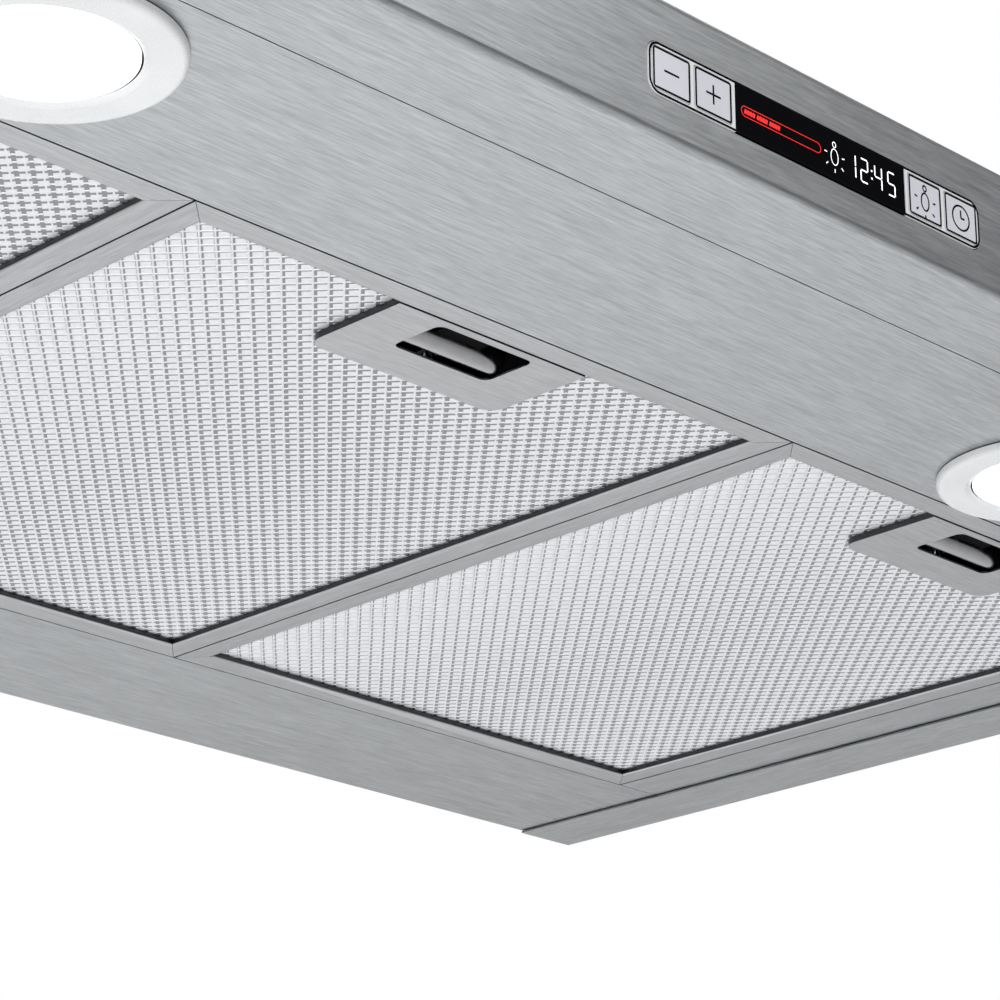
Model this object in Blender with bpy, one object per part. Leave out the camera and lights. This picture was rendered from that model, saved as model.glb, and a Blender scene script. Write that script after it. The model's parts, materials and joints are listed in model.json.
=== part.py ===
"""Under cabinet range hood, 36 inch class, in metres with +Z up and +Y towards the wall.

The origin is on the top face, on the centre plane, midway between the two rear cabinet screws.
"""
from math import acos, atan2, cos, hypot, pi, radians, sin, tan

import bmesh
import bpy
from mathutils import Vector

# Overall sizes
WIDTH = 0.911
DEPTH = 0.542
HEIGHT = 0.229           # from the side strips' underside to the top panel
FACE_HEIGHT = 0.0444     # fascia, above the filters' plane
TOP_DEPTH = 0.303        # flat top that meets the cabinet
REAR_SCREW_INSET = 0.025

# Sheet metal and clearances
SHEET = 0.0010
GAP = 0.0003             # between pieces that touch
SEAM = 0.0005            # visible seam between butted plates
BEND = 0.0025

# Underside
STRIP_WIDTH = 0.0324
FLANGE_DEPTH = 0.0358
LAMP_PANEL_DEPTH = 0.0872
FASCIA_RETURN = 0.012
CANOPY_LIP = 0.014

# Grease filters
SIDE_MARGIN = 0.05665    # from the hood's side to the filters
REAR_PLATE_DEPTH = 0.0882
FILTER_HEIGHT = 0.0090
FILTER_GAP = 0.0008
FRAME_LIP = 0.0102
FRAME_BACK_LIP = 0.0116
FRAME_SHEET = 0.0008
MESH_RECESS = 0.0024
TAB_WIDTH = 0.020
TAB_REACH = 0.006
PLATE_LIP = 0.0045       # turned-up edges around the filters

# Filter latch, in the filter's own depth direction from its front edge
LATCH_WIDTH = 0.083
LATCH_DEPTH = 0.0438
LATCH_CORNER = 0.006
WINDOW_WIDTH = 0.042
WINDOW_START = 0.0139
WINDOW_DEPTH = 0.0222
WINDOW_CORNER = 0.003
WELL_WALL = 0.0008
PADDLE_RADIUS = 0.0050
PADDLE_CENTRE = 0.0325
TONGUE_WIDTH = 0.020
TONGUE_THICK = 0.0012
TONGUE_RISE = 0.0058
SPRING_RADIUS = 0.0022
SPRING_WIRE = 0.0004
SPRING_LENGTH = 0.0108
SPRING_TURNS = 5

# Lamps
LAMP_X = 0.2207
LAMP_INSET = 0.0425      # in front of the filters
RING_RADIUS = 0.039
RING_PROUD = 0.0035
LENS_RADIUS = 0.0262
LENS_THICK = 0.0020
LENS_RECESS = 0.0008
NECK_RADIUS = 0.0330
NECK_HEIGHT = 0.008
LAMP_CAN_HEIGHT = 0.026

# Controls
CONTROL_X = 0.0029
CONTROL_RISE = 0.0208
CONTROL_WIDTH = 0.1505
CONTROL_HEIGHT = 0.0166
CONTROL_CORNER = 0.0042
CONTROL_RIM = 0.0013     # white frame between the keys
CONTROL_PROUD = 0.0004
KEY_WIDTH = 0.0163
KEY_PROUD = 0.0006
KEY_TRAVEL = 0.0008
BEZEL_THICK = 0.0034
KEY_THICK = 0.0051
BOARD_SETBACK = 0.0065
BOARD_THICK = 0.0016

# Blower
DUCT_WIDTH = 0.254
DUCT_DEPTH = 0.083
DUCT_Y = -0.075
COLLAR_HEIGHT = 0.045
SCROLL_SHEET = 0.0012
SCROLL_CLEARANCE = 0.008 # around the wheels, at the scroll's lip
SCROLL_GROWTH = 0.030
SCROLL_FLANGE = 0.014
WHEEL_RADIUS = 0.062
WHEEL_CLEARANCE = 0.017  # from a wheel's end to its cheek
WHEEL_START = 0.030      # from the centre plane to each wheel's hub plate
BLADES = 24
BLADE_DEPTH = 0.011
BLADE_THICK = 0.0012
MOTOR_RADIUS = 0.040
MOTOR_HALF = 0.024
SHAFT_RADIUS = 0.004
BLOWER_CLEARANCE = 0.012  # above the filters
FLAP_THICK = 0.0008
FLAP_CLEARANCE = 0.0012
PIN_RADIUS = 0.0010
PIN_SETBACK = 0.0040
PIN_RISE = 0.010
SCREW_RADIUS = 0.0020
SCREW_HEAD = 0.0042

# Electrical pieces
BOX_WALL = 0.0010
BOX_SIZE = (0.100, 0.080, 0.045)
BOX_X = 0.255
BOX_INSET = 0.073        # behind the flat top's front edge
BUSHING_RADIUS = 0.011
BUSHING_FLANGE = 0.003
DRIVER_SIZE = (0.110, 0.040, 0.026)
DRIVER_X = -0.270
DRIVER_INSET = 0.078
CAPACITOR_RADIUS = 0.015
CAPACITOR_LENGTH = 0.055
CAPACITOR_PLACE = (-0.270, -0.100)

# Places that follow from the sizes
back = REAR_SCREW_INSET
front = back - DEPTH
bottom = -HEIGHT
deck = bottom + SHEET + GAP               # underside of the plates and filters
face_top = deck + FACE_HEIGHT
wall = WIDTH / 2
inner_wall = wall - SHEET - GAP
flange_end = front + FLANGE_DEPTH
filters_front = flange_end + LAMP_PANEL_DEPTH
filters_back = back - REAR_PLATE_DEPTH
top_front = back - TOP_DEPTH
filters_edge = wall - SIDE_MARGIN
filter_pitch = 2 * filters_edge / 3
control_z = deck + CONTROL_RISE
duct_front = DUCT_Y - DUCT_DEPTH / 2
duct_back = DUCT_Y + DUCT_DEPTH / 2
scroll_start = WHEEL_RADIUS + SCROLL_CLEARANCE
scroll_end = scroll_start + SCROLL_GROWTH
fan_y = duct_back - scroll_end
wheel_end = DUCT_WIDTH / 2 - WHEEL_CLEARANCE
wheel_bore = WHEEL_RADIUS - BLADE_DEPTH
eye_radius = wheel_bore - 0.001
roof = -SHEET - GAP                       # underside of the top panel, with its gap
collar_low = roof - SCROLL_SHEET
scroll_roof = collar_low - GAP
scroll_low = scroll_roof - SCROLL_SHEET   # underside of the scroll's flange
box_place = (BOX_X, top_front + BOX_INSET)

STEEL = ((0.62, 0.63, 0.64), 0.32, 1.0)
GALVANISED = ((0.50, 0.52, 0.53), 0.45, 1.0)
ALUMINIUM = ((0.80, 0.81, 0.82), 0.30, 1.0)
WHITE_PLASTIC = ((0.86, 0.86, 0.87), 0.30, 0.0)
GREY_PLASTIC = ((0.20, 0.20, 0.21), 0.50, 0.0)
BLACK_GLOSS = ((0.01, 0.01, 0.01), 0.10, 0.0)
BOARD_GREEN = ((0.02, 0.16, 0.08), 0.50, 0.0)


def finish(obj, look):
    """Gives an object its own Principled material."""
    colour, roughness, metallic = look
    material = bpy.data.materials.new(obj.name + "_finish")
    material.use_nodes = True
    shader = material.node_tree.nodes["Principled BSDF"]
    shader.inputs["Base Color"].default_value = (*colour, 1.0)
    shader.inputs["Roughness"].default_value = roughness
    shader.inputs["Metallic"].default_value = metallic
    obj.data.materials.append(material)


def solid(name, rings, look=None, capped=True, origin=(0, 0, 0)):
    """Makes a solid from rings of points: neighbouring rings are bridged, and the ends capped or joined."""
    bm = bmesh.new()
    made = [[bm.verts.new(Vector(p) - Vector(origin)) for p in ring] for ring in rings]
    pairs = list(zip(made, made[1:]))
    if not capped:
        pairs.append((made[-1], made[0]))
    for low, high in pairs:
        for i in range(len(low)):
            j = (i + 1) % len(low)
            bm.faces.new((low[i], low[j], high[j], high[i]))
    if capped:
        bm.faces.new(made[0])
        bm.faces.new(made[-1])
    bmesh.ops.recalc_face_normals(bm, faces=bm.faces)
    mesh = bpy.data.meshes.new(name)
    bm.to_mesh(mesh)
    bm.free()
    obj = bpy.data.objects.new(name, mesh)
    obj.location = origin
    bpy.context.collection.objects.link(obj)
    if look is None:
        obj.hide_render = True
        obj.display_type = "WIRE"
    else:
        finish(obj, look)
    return obj


def along(axis, a, b, c):
    """Puts profile coordinates a, b and the distance c along an axis in X, Y, Z order."""
    return {"X": (c, a, b), "Y": (a, c, b), "Z": (a, b, c)}[axis]


def prism(name, outline, axis, low, high, look=None, origin=(0, 0, 0)):
    """Extrudes an outline along an axis."""
    return solid(name, [[along(axis, a, b, c) for a, b in outline] for c in (low, high)], look, origin=origin)


def box(name, x, y, z, look=None, origin=(0, 0, 0)):
    """Makes a block from its three ranges."""
    outline = [(x[0], y[0]), (x[1], y[0]), (x[1], y[1]), (x[0], y[1])]
    return prism(name, outline, "Z", z[0], z[1], look, origin)


def turned(name, profile, axis, centre, look=None, steps=40, origin=(0, 0, 0)):
    """Turns a closed profile of (radius, distance) points about an axis through a centre in the profile plane."""
    rings = []
    for i in range(steps):
        angle = 2 * pi * i / steps
        rings.append([along(axis, centre[0] + r * cos(angle), centre[1] + r * sin(angle), d) for r, d in profile])
    obj = solid(name, rings, look, capped=False, origin=origin)
    smooth(obj)
    return obj


def rod(name, radius, axis, centre, low, high, look=None, steps=32, origin=(0, 0, 0)):
    """Makes a plain round bar."""
    obj = prism(name, circle(centre, radius, steps), axis, low, high, look, origin)
    smooth(obj)
    return obj


def circle(centre, radius, steps):
    return [(centre[0] + radius * cos(2 * pi * i / steps), centre[1] + radius * sin(2 * pi * i / steps))
            for i in range(steps)]


def smooth(obj):
    obj.data.shade_smooth()
    obj.data.set_sharp_from_angle(angle=radians(35))


def combine(obj, tool, operation):
    modifier = obj.modifiers.new(tool.name, "BOOLEAN")
    modifier.operation = operation
    modifier.object = tool


def cut(obj, *tools):
    for tool in tools:
        combine(obj, tool, "DIFFERENCE")


def add(obj, *tools):
    for tool in tools:
        combine(obj, tool, "UNION")


def rounded_rectangle(x, y, radius, steps=4):
    """Returns the outline of a rectangle with round corners."""
    corners = ((x[1] - radius, y[1] - radius, 0), (x[0] + radius, y[1] - radius, 90),
               (x[0] + radius, y[0] + radius, 180), (x[1] - radius, y[0] + radius, 270))
    points = []
    for cx, cy, start in corners:
        for i in range(steps + 1):
            angle = radians(start + 90 * i / steps)
            points.append((cx + radius * cos(angle), cy + radius * sin(angle)))
    return points


def bent(points, radii, steps=4):
    """Rounds the inner corners of an open line, each with its own radius."""
    line = [points[0]]
    for (ax, ay), (bx, by), (cx, cy), radius in zip(points, points[1:], points[2:], radii):
        before = Vector((ax - bx, ay - by)).normalized()
        after = Vector((cx - bx, cy - by)).normalized()
        half = acos(max(-1, min(1, before.dot(after)))) / 2
        centre = Vector((bx, by)) + (before + after).normalized() * radius / sin(half)
        reach = radius / tan(half)
        start = Vector((bx, by)) + before * reach - centre
        end = Vector((bx, by)) + after * reach - centre
        turn = atan2(start.x * end.y - start.y * end.x, start.dot(end))
        for i in range(steps + 1):
            angle = turn * i / steps
            line.append((centre.x + start.x * cos(angle) - start.y * sin(angle),
                         centre.y + start.x * sin(angle) + start.y * cos(angle)))
    line.append(points[-1])
    return line


def offset(points, distance):
    """Moves an open line sideways, to its left when the distance is positive."""
    moved = []
    for i, (x, y) in enumerate(points):
        normals = []
        for (ax, ay), (bx, by) in zip(points[max(i - 1, 0):i + 1], points[max(i, 1) if i else 1:i + 2]):
            length = hypot(bx - ax, by - ay)
            normals.append(Vector((-(by - ay) / length, (bx - ax) / length)))
        middle = (normals[0] + normals[-1]).normalized()
        reach = distance / middle.dot(normals[0])
        moved.append((x + middle.x * reach, y + middle.y * reach))
    return moved


def folded(name, points, x, look, radius=BEND):
    """Makes a folded sheet from its outer line in the YZ plane, its thickness on the line's left."""
    inner = offset(points, SHEET)
    outer_radii, inner_radii = [], []
    for a, b, c in zip(points, points[1:], points[2:]):
        left_turn = (b[0] - a[0]) * (c[1] - b[1]) - (b[1] - a[1]) * (c[0] - b[0]) > 0
        outer_radii.append(radius if left_turn else radius - SHEET)
        inner_radii.append(radius - SHEET if left_turn else radius)
    outline = bent(points, outer_radii) + bent(inner, inner_radii)[::-1]
    return prism(name, outline, "X", x[0], x[1], look)


def hang(empty, *objects):
    for obj in objects:
        obj.parent = empty
        obj.location -= empty.location


def axis_point(name, place):
    empty = bpy.data.objects.new(name, None)
    empty.location = place
    bpy.context.collection.objects.link(empty)
    return empty


def make_shell():
    """Fascia, canopy, back and side panels."""
    fascia = folded("front_fascia",
                    [(front + FASCIA_RETURN, face_top), (front, face_top), (front, deck), (flange_end, deck)],
                    (-wall, wall), STEEL)
    cut(fascia, prism("fascia_cutout",
                      rounded_rectangle((CONTROL_X - CONTROL_WIDTH / 2 - GAP, CONTROL_X + CONTROL_WIDTH / 2 + GAP),
                                        (control_z - CONTROL_HEIGHT / 2 - GAP, control_z + CONTROL_HEIGHT / 2 + GAP),
                                        CONTROL_CORNER + GAP),
                      "Y", front - SHEET, front + 2 * SHEET))
    lip_top = face_top + GAP + SHEET
    slope_start = front + CANOPY_LIP
    canopy = folded("canopy_panel", [(back, 0), (top_front, 0), (slope_start, lip_top), (front + BEND, lip_top)],
                    (-inner_wall, inner_wall), STEEL)
    cut(canopy, box("duct_opening", (-DUCT_WIDTH / 2 - GAP, DUCT_WIDTH / 2 + GAP),
                    (duct_front - SCROLL_SHEET - GAP, duct_back + SCROLL_SHEET + GAP), (-0.01, 0.01)))
    for x in (-1, 1):
        for y in (0, top_front + REAR_SCREW_INSET):
            slot = rounded_rectangle((x * 0.40 - 0.003, x * 0.40 + 0.003), (y - 0.007, y + 0.007), 0.0029)
            cut(canopy, prism("cabinet_slot", slot, "Z", -0.01, 0.01))
    for x, y in blower_screws():
        cut(canopy, rod("canopy_screw_hole", SCREW_RADIUS + GAP, "Z", (x, y), -0.01, 0.01, steps=16))
    cut(canopy, rod("cable_hole", BUSHING_RADIUS + GAP, "Z", box_place, -0.01, 0.01))
    box("back_panel", (-inner_wall, inner_wall), (back - SHEET, back), (deck + SHEET + GAP, roof), STEEL)
    inset = front + FASCIA_RETURN + GAP
    edge, low, high = front + SHEET + GAP, deck + SHEET + GAP, face_top - SHEET - GAP
    side = [(edge, low + BEND), (edge + BEND, low), (flange_end + GAP, low), (flange_end + GAP, bottom),
            (back, bottom), (back, 0), (top_front, 0), (slope_start, lip_top), (inset, lip_top), (inset, high),
            (edge + BEND, high), (edge, high - BEND)]
    for name, sign in (("left", -1), ("right", 1)):
        x = sorted((sign * wall, sign * (wall - SHEET)))
        panel = prism(name + "_side_panel", side, "X", x[0], x[1], STEEL)
        x = sorted((sign * wall, sign * (wall - STRIP_WIDTH)))
        add(panel, box(name + "_strip", x, (flange_end + GAP, back), (bottom, bottom + SHEET)))


def make_underside():
    """Plates around the filters, each with turned-up edges."""
    lip = (deck, deck + PLATE_LIP)
    plate = (deck, deck + SHEET)
    y = (flange_end + SEAM, filters_front - FILTER_GAP)
    lamp_panel = box("lamp_panel", (-inner_wall, inner_wall), y, plate, STEEL)
    add(lamp_panel, box("lamp_panel_lip", (-filters_edge, filters_edge), (y[1] - SHEET, y[1]), lip))
    for x in (-LAMP_X, LAMP_X):
        cut(lamp_panel, rod("lamp_hole", NECK_RADIUS + GAP, "Z", (x, filters_front - LAMP_INSET),
                            deck - SHEET, deck + 2 * SHEET, steps=40))
    y = (filters_back + FILTER_GAP, back)
    rear = box("rear_plate", (-inner_wall, inner_wall), y, plate, STEEL)
    add(rear, box("rear_plate_lip", (-filters_edge, filters_edge), (y[0], y[0] + SHEET), lip))
    for name, sign in (("left", -1), ("right", 1)):
        inner = sign * (filters_edge + FILTER_GAP)
        y = (filters_front - FILTER_GAP + SEAM, filters_back + FILTER_GAP - SEAM)
        side = box(name + "_side_plate", sorted((inner, sign * inner_wall)), y, plate, STEEL)
        add(side, box(name + "_side_plate_lip", sorted((inner, inner + sign * SHEET)), y, lip))


def ring_frame(name, x, y, section, look, origin):
    """Sweeps a section of (side, front, back, height) insets around a rectangle, mitred at its corners."""
    rings = []
    for sx, sy in ((0, 0), (1, 0), (1, 1), (0, 1)):
        ring = []
        for side, front_inset, back_inset, z in section:
            px = x[1] - side if sx else x[0] + side
            py = y[1] - back_inset if sy else y[0] + front_inset
            ring.append((px, py, z))
        rings.append(ring)
    return solid(name, rings, look, capped=False, origin=origin)


def make_filter(side, x):
    """One grease filter: frame, mesh pack, latch plate, bolt and spring."""
    hinge = (x, filters_back, deck)
    swing = axis_point(side + "_filter_hinge", hinge)
    top = deck + FILTER_HEIGHT
    half = (filter_pitch - FILTER_GAP) / 2
    t = FRAME_SHEET
    lip, back_lip, upper = FRAME_LIP, FRAME_BACK_LIP, FRAME_LIP - 0.002
    section = [(0, 0, 0, deck), (lip, lip, back_lip, deck), (lip, lip, back_lip, deck + MESH_RECESS),
               (lip - t, lip - t, back_lip - t, deck + MESH_RECESS), (lip - t, lip - t, back_lip - t, deck + t),
               (t, t, t, deck + t), (t, t, t, top - t), (upper, upper, upper, top - t), (upper, upper, upper, top),
               (0, 0, 0, top)]
    frame = ring_frame(side + "_filter_frame", (x - half, x + half), (filters_front, filters_back), section,
                       STEEL, hinge)
    tab_z = (deck + PLATE_LIP + 0.0005, deck + PLATE_LIP + 0.0017)
    for centre in (x - half / 2, x + half / 2):
        add(frame, box("filter_tab", (centre - TAB_WIDTH / 2, centre + TAB_WIDTH / 2),
                       (filters_back - t / 2, filters_back + TAB_REACH), tab_z))
    tongue_z = (deck + TONGUE_RISE, deck + TONGUE_RISE + TONGUE_THICK)
    slot_x = (x - TONGUE_WIDTH / 2 - 2 * GAP, x + TONGUE_WIDTH / 2 + 2 * GAP)
    slot_z = (tongue_z[0] - GAP, tongue_z[1] + GAP)
    cut(frame, box("frame_slot", slot_x, (filters_front - SHEET, filters_front + 2 * t), slot_z))

    well_x = (x - WINDOW_WIDTH / 2 - 0.001 - WELL_WALL, x + WINDOW_WIDTH / 2 + 0.001 + WELL_WALL)
    well_y = (filters_front + WINDOW_START - 0.001, filters_front + FRAME_LIP + LATCH_DEPTH - 0.0025)
    inset = t + GAP
    pack_x = (x - half + inset, x + half - inset)
    pack_y = (filters_front + inset, filters_back - inset)
    notch = (well_x[0] - GAP, well_x[1] + GAP, well_y[1] + GAP)
    pack = [(pack_x[0], pack_y[0]), (notch[0], pack_y[0]), (notch[0], notch[2]), (notch[1], notch[2]),
            (notch[1], pack_y[0]), (pack_x[1], pack_y[0]), (pack_x[1], pack_y[1]), (pack_x[0], pack_y[1])]
    mesh = prism(side + "_filter_mesh", pack, "Z", deck + MESH_RECESS + GAP, top - t - GAP, ALUMINIUM, hinge)

    plate_y = (filters_front + FRAME_LIP + GAP, filters_front + FRAME_LIP + LATCH_DEPTH)
    outline = rounded_rectangle((x - LATCH_WIDTH / 2, x + LATCH_WIDTH / 2), plate_y, LATCH_CORNER)
    square = [(x + LATCH_WIDTH / 2, plate_y[0]), (x + LATCH_WIDTH / 2, plate_y[1] - LATCH_CORNER)]
    outline = square[:1] + outline[:10] + [(x - LATCH_WIDTH / 2, plate_y[0])]
    plate = prism(side + "_latch_plate", outline, "Z", deck, deck + MESH_RECESS, STEEL, hinge)
    hollow_x = (x - LATCH_WIDTH / 2 + t, x + LATCH_WIDTH / 2 - t)
    hollow_y = (plate_y[0] + t, plate_y[1] - t)
    hollow = rounded_rectangle(hollow_x, hollow_y, LATCH_CORNER - t)
    hollow = [(hollow_x[1], hollow_y[0])] + hollow[:10] + [(hollow_x[0], hollow_y[0])]
    cut(plate, prism("plate_hollow", hollow, "Z", deck + t, deck + MESH_RECESS + SHEET))
    add(plate, box("latch_well", well_x, well_y, (deck + t / 2, top)))
    cut(plate, box("well_hollow", (well_x[0] + WELL_WALL, well_x[1] - WELL_WALL),
                   (well_y[0] + WELL_WALL, well_y[1] - WELL_WALL), (deck + t, top - WELL_WALL)))
    window_y = (filters_front + WINDOW_START, filters_front + WINDOW_START + WINDOW_DEPTH)
    window = rounded_rectangle((x - WINDOW_WIDTH / 2, x + WINDOW_WIDTH / 2), window_y, WINDOW_CORNER)
    cut(plate, prism("finger_window", window, "Z", deck - SHEET, deck + 2 * t))
    cut(plate, box("well_slot", slot_x, (well_y[0] - SHEET, well_y[0] + 2 * WELL_WALL), slot_z))

    make_latch(side, x, swing, hinge, tongue_z, well_y[1] - WELL_WALL)
    hang(swing, frame, mesh, plate)


def make_latch(side, x, swing, hinge, tongue_z, well_back):
    """Sliding bolt with its finger paddle, and the spring behind it."""
    paddle_y = filters_front + PADDLE_CENTRE
    centre_z = deck + MESH_RECESS + PADDLE_RADIUS
    rise = tongue_z[1] - centre_z
    start = atan2(rise, -(PADDLE_RADIUS ** 2 - rise ** 2) ** 0.5)
    sweep = pi - 2 * (pi - abs(start))
    steps = 12
    curve = [(paddle_y + PADDLE_RADIUS * cos(-pi / 2 - sweep / 2 + sweep * i / steps),
              centre_z + PADDLE_RADIUS * sin(-pi / 2 - sweep / 2 + sweep * i / steps)) for i in range(steps + 1)]
    half = WINDOW_WIDTH / 2 + 0.001 - 2 * GAP
    rest = (x, paddle_y, centre_z)
    bolt = prism(side + "_latch_bolt", curve, "X", x - half, x + half, STEEL, rest)
    smooth(bolt)
    nose = filters_front - FILTER_GAP + GAP + 0.0001
    add(bolt, box("bolt_tongue", (x - TONGUE_WIDTH / 2, x + TONGUE_WIDTH / 2), (nose, paddle_y), tongue_z))
    spring_start = well_back - GAP - SPRING_LENGTH
    spring = coil(side + "_latch_spring", (x, spring_start, deck + FILTER_HEIGHT / 2 + SPRING_WIRE),
                  GALVANISED, hinge)
    hang(swing, bolt, spring)


def coil(name, start, look, origin):
    """Winds a wire along +Y from its start point."""
    rings = []
    steps, sides = 10 * SPRING_TURNS, 5
    for i in range(steps + 1):
        turn = 2 * pi * SPRING_TURNS * i / steps
        y = start[1] + SPRING_WIRE + (SPRING_LENGTH - 2 * SPRING_WIRE) * i / steps
        ring = []
        for k in range(sides):
            angle = 2 * pi * k / sides
            r = SPRING_RADIUS + SPRING_WIRE * cos(angle)
            ring.append((start[0] + r * cos(turn), y + SPRING_WIRE * sin(angle), start[2] + r * sin(turn)))
        rings.append(ring)
    obj = solid(name, rings, look, origin=origin)
    smooth(obj)
    return obj


def make_lamp(side, x):
    """One lamp: trim ring, diffuser and the can with its cooling fins."""
    centre = (x, filters_front - LAMP_INSET)
    face = deck - RING_PROUD
    bore = LENS_RADIUS + GAP
    ledge = LENS_RADIUS - 0.002
    lens_low = face + LENS_RECESS
    lens_high = lens_low + LENS_THICK
    neck_top = deck + NECK_HEIGHT
    edge = 0.0012
    turned(side + "_lamp_ring",
           [(bore + 0.0006, face), (RING_RADIUS - edge, face), (RING_RADIUS - 0.3 * edge, face + 0.3 * edge),
            (RING_RADIUS, face + edge), (RING_RADIUS, deck - GAP), (NECK_RADIUS, deck - GAP),
            (NECK_RADIUS, neck_top), (ledge, neck_top), (ledge, lens_high + GAP), (bore, lens_high + GAP),
            (bore, face + 0.0006)], "Z", centre, WHITE_PLASTIC, steps=40)
    lens = rod(side + "_lamp_lens", LENS_RADIUS, "Z", centre, lens_low, lens_high, WHITE_PLASTIC, steps=40)
    bevel = lens.modifiers.new("rim", "BEVEL")
    bevel.width = 0.0004
    bevel.segments = 1
    can_low = deck + SHEET + GAP
    can_top = can_low + LAMP_CAN_HEIGHT
    can_in = NECK_RADIUS + GAP
    can_out = can_in + 0.0015
    step = 0.0025
    profile = [(can_in, can_low), (can_out, can_low)]
    level = can_low + 0.010
    while level + step < can_top - step:
        profile += [(can_out, level), (can_out + 0.003, level), (can_out + 0.003, level + step),
                    (can_out, level + step)]
        level += 2 * step
    profile += [(can_out, can_top), (0.004, can_top), (0.004, can_top - 0.0015), (can_in, can_top - 0.0015)]
    turned(side + "_lamp_can", profile, "Z", centre, ALUMINIUM, steps=28)


def key_ranges():
    """Returns the X ranges of the four keys and of the display between them."""
    left = CONTROL_X - CONTROL_WIDTH / 2 + CONTROL_RIM
    right = CONTROL_X + CONTROL_WIDTH / 2 - CONTROL_RIM
    pitch = KEY_WIDTH + CONTROL_RIM
    keys = {"minus_key": (left, left + KEY_WIDTH), "plus_key": (left + pitch, left + pitch + KEY_WIDTH),
            "light_key": (right - pitch - KEY_WIDTH, right - pitch), "timer_key": (right - KEY_WIDTH, right)}
    display = (keys["plus_key"][1] + CONTROL_RIM, keys["light_key"][0] - CONTROL_RIM)
    return keys, display


def make_controls():
    """Bezel, four keys, display window, circuit board and its cover."""
    keys, display = key_ranges()
    x = (CONTROL_X - CONTROL_WIDTH / 2, CONTROL_X + CONTROL_WIDTH / 2)
    z = (control_z - CONTROL_HEIGHT / 2, control_z + CONTROL_HEIGHT / 2)
    face = front - CONTROL_PROUD
    bezel_back = face + BEZEL_THICK
    bezel = prism("control_bezel", rounded_rectangle(x, z, CONTROL_CORNER), "Y", face, bezel_back, WHITE_PLASTIC)
    key_z = (z[0] + CONTROL_RIM, z[1] - CONTROL_RIM)
    board_face = front + BOARD_SETBACK
    board = box("control_board", (x[0] + 0.002, x[1] - 0.002), (board_face, board_face + BOARD_THICK),
                (z[0] - 0.001, z[1] + 0.001), BOARD_GREEN)
    for name, span in keys.items():
        hole = rounded_rectangle(span, key_z, 0.0012)
        cut(bezel, prism(name + "_hole", hole, "Y", face - SHEET, bezel_back + SHEET))
        body = rounded_rectangle((span[0] + GAP, span[1] - GAP), (key_z[0] + GAP, key_z[1] - GAP), 0.0010)
        key_face = front - KEY_PROUD
        prism(name, body, "Y", key_face, key_face + KEY_THICK, WHITE_PLASTIC,
              ((span[0] + span[1]) / 2, key_face, control_z))
        switch_back = (span[0] + span[1]) / 2
        add(board, box(name + "_switch", (switch_back - 0.003, switch_back + 0.003),
                       (front - KEY_PROUD + KEY_THICK + KEY_TRAVEL + GAP, board_face + BOARD_THICK / 2),
                       (control_z - 0.003, control_z + 0.003)))
    display_z = (z[0] + GAP, z[1] - GAP)
    hole = [(display[0], z[0] - SHEET), (display[1], z[0] - SHEET), (display[1], z[1] + SHEET),
            (display[0], z[1] + SHEET)]
    window_back = bezel_back - 0.0012
    cut(bezel, prism("display_hole", hole, "Y", face - SHEET, window_back))
    pane = (display[0] + GAP, display[1] - GAP)
    cut(bezel, box("display_sight", (pane[0] + 0.002, pane[1] - 0.002), (window_back - SHEET, bezel_back + SHEET),
                   (display_z[0] + 0.002, display_z[1] - 0.002)))
    box("display_window", pane, (face, window_back - GAP), display_z, BLACK_GLOSS)
    cover_front, cover_back = front + SHEET + GAP, board_face + BOARD_THICK + 0.008
    cover = prism("control_cover", rounded_rectangle((x[0] - 0.006, x[1] + 0.006), (z[0] - 0.004, z[1] + 0.004),
                                                     0.003), "Y", cover_front, cover_back, GREY_PLASTIC)
    cut(cover, prism("cover_hollow", rounded_rectangle((x[0] - 0.0045, x[1] + 0.0045),
                                                       (z[0] - 0.0025, z[1] + 0.0025), 0.002),
                     "Y", cover_front - SHEET, cover_back - 0.0015))


def scroll_line(extra):
    """Returns the scroll's line from its front lip over the tongue, round the wheel and up the back."""
    axis_z = fan_height()
    reach = fan_y + scroll_end - DUCT_DEPTH
    start = acos((reach - fan_y) / scroll_start)
    steps = 36
    line = [(reach - extra, scroll_low + SCROLL_SHEET / 2)]
    for i in range(steps + 1):
        angle = start + (2 * pi - start) * i / steps
        radius = scroll_start + (scroll_end - scroll_start) * i / steps + extra
        if i == 0:
            line.append((reach - extra, axis_z + scroll_start * sin(start) + extra))
        else:
            line.append((fan_y + radius * cos(angle), axis_z + radius * sin(angle)))
    line.append((fan_y + scroll_end + extra, scroll_low + SCROLL_SHEET / 2))
    return line


def fan_height():
    """Returns the shaft's height, which leaves the scroll clear of the filters."""
    start = acos((scroll_end - DUCT_DEPTH) / scroll_start)
    lowest = scroll_start + (scroll_end - scroll_start) * (1.5 * pi - start) / (2 * pi - start)
    return deck + FILTER_HEIGHT + BLOWER_CLEARANCE + lowest + SCROLL_SHEET


def blower_screws():
    x = DUCT_WIDTH / 2 + SCROLL_FLANGE / 2
    return [(sx * x, y) for sx in (-1, 1) for y in (duct_front + 0.012, duct_back - 0.012)]


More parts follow.
